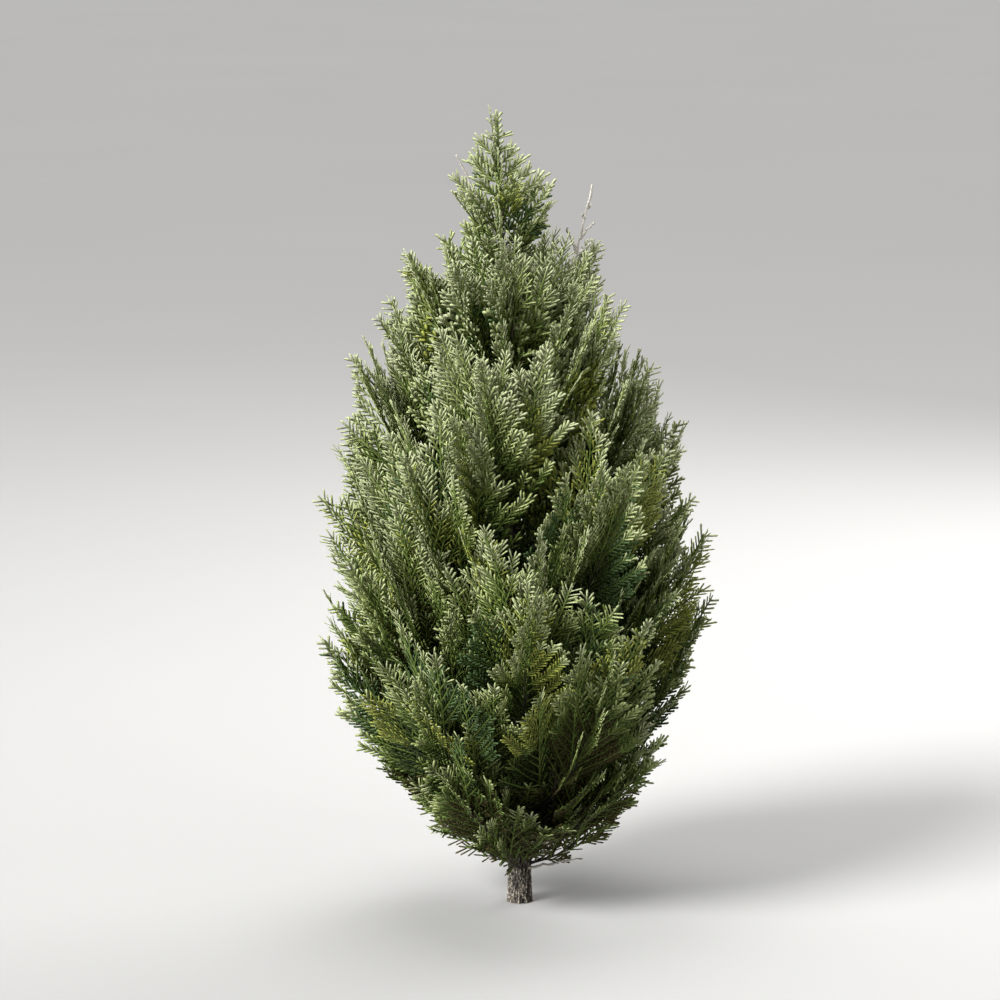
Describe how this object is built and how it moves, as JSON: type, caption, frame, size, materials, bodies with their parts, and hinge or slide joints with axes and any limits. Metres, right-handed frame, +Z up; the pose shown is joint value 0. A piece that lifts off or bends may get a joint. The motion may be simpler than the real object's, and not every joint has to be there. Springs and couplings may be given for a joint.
{
  "type": "red cedar shrub",
  "caption": "Young upright conifer shrub with a single leaning trunk and flame-shaped masses of flat scale-leaf sprays on rising boughs, rooted in level ground at its trunk's foot.",
  "frame": {"origin": "middle of the flat cut under the trunk, at ground level", "axes": "+Z up, +X to the right as the picture shows the shrub, +Y away from the camera"},
  "size_m": [0.5766, 0.5916, 1.2],
  "materials": {
    "bark": "furrowed bark",
    "foliage_deep": "matt scale leaves",
    "foliage_sage": "matt scale leaves",
    "foliage_pale": "matt scale leaves"
  },
  "bodies": {
    "root": {"bough_05": "bark", "bough_06": "bark", "bough_07": "bark", "bough_08": "bark", "bough_09": "bark", "bough_10": "bark", "bough_11": "bark", "bough_12": "bark", "bough_13": "bark", "bough_14": "bark", "bough_15": "bark", "bough_16": "bark", "bough_17": "bark", "bough_18": "bark", "bough_19": "bark", "bough_20": "bark", "bough_21": "bark", "bough_22": "bark", "bough_23": "bark", "bough_24": "bark", "bough_25": "bark", "bough_26": "bark", "bough_27": "bark", "bough_28": "bark", "foliage_01": "foliage_deep", "foliage_02": "foliage_deep", "foliage_03": "foliage_deep", "foliage_04": "foliage_deep", "foliage_05": "foliage_deep", "foliage_06": "foliage_deep", "foliage_07": "foliage_deep", "foliage_08": "foliage_deep", "foliage_09": "foliage_sage", "foliage_10": "foliage_sage", "foliage_11": "foliage_sage", "foliage_12": "foliage_sage", "foliage_13": "foliage_sage", "foliage_14": "foliage_sage", "foliage_15": "foliage_sage", "foliage_16": "foliage_sage", "foliage_17": "foliage_sage", "foliage_18": "foliage_sage", "foliage_19": "foliage_sage", "foliage_20": "foliage_sage", "foliage_21": "foliage_sage", "foliage_22": "foliage_sage", "foliage_23": "foliage_sage", "foliage_24": "foliage_sage", "foliage_25": "foliage_pale", "foliage_26": "foliage_pale", "foliage_27": "foliage_pale", "foliage_28": "foliage_pale", "foliage_29": "foliage_pale", "foliage_30": "foliage_pale", "foliage_31": "foliage_pale", "foliage_32": "foliage_pale", "foliage_33": "foliage_pale", "foliage_34": "foliage_pale", "leader_foliage": "foliage_pale", "trunk": "bark"}
  },
  "joints": []
}
